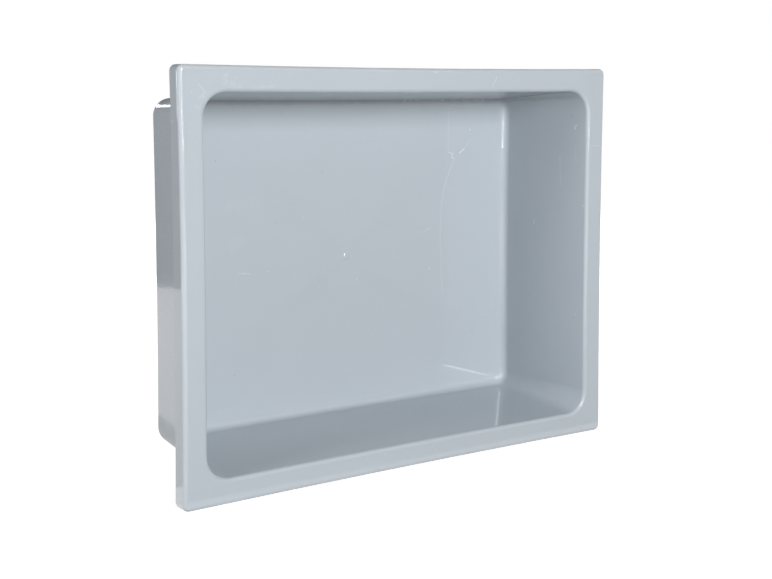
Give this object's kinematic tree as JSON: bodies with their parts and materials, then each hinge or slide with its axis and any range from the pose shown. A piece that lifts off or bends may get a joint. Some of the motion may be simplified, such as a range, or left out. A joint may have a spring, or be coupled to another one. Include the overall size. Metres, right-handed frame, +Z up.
{
  "type": "recessed shower shelf",
  "caption": "One-piece moulded plastic tub with a turned-back flange round its mouth, set into a wall as a recessed shelf for bottles and soap.",
  "frame": {"origin": "middle of the flange's seat, the rear edge of its turned-back skirt, in the plane of the wall's face", "axes": "+X to the right and +Z up as the shelf is looked into, +Y into the wall, so the mouth faces -Y"},
  "size_m": [0.3798, 0.098, 0.2998],
  "materials": {
    "shell": "glossy moulded blue-grey plastic with fine scuffs"
  },
  "bodies": {
    "root": {"shelf": "shell"}
  },
  "joints": []
}
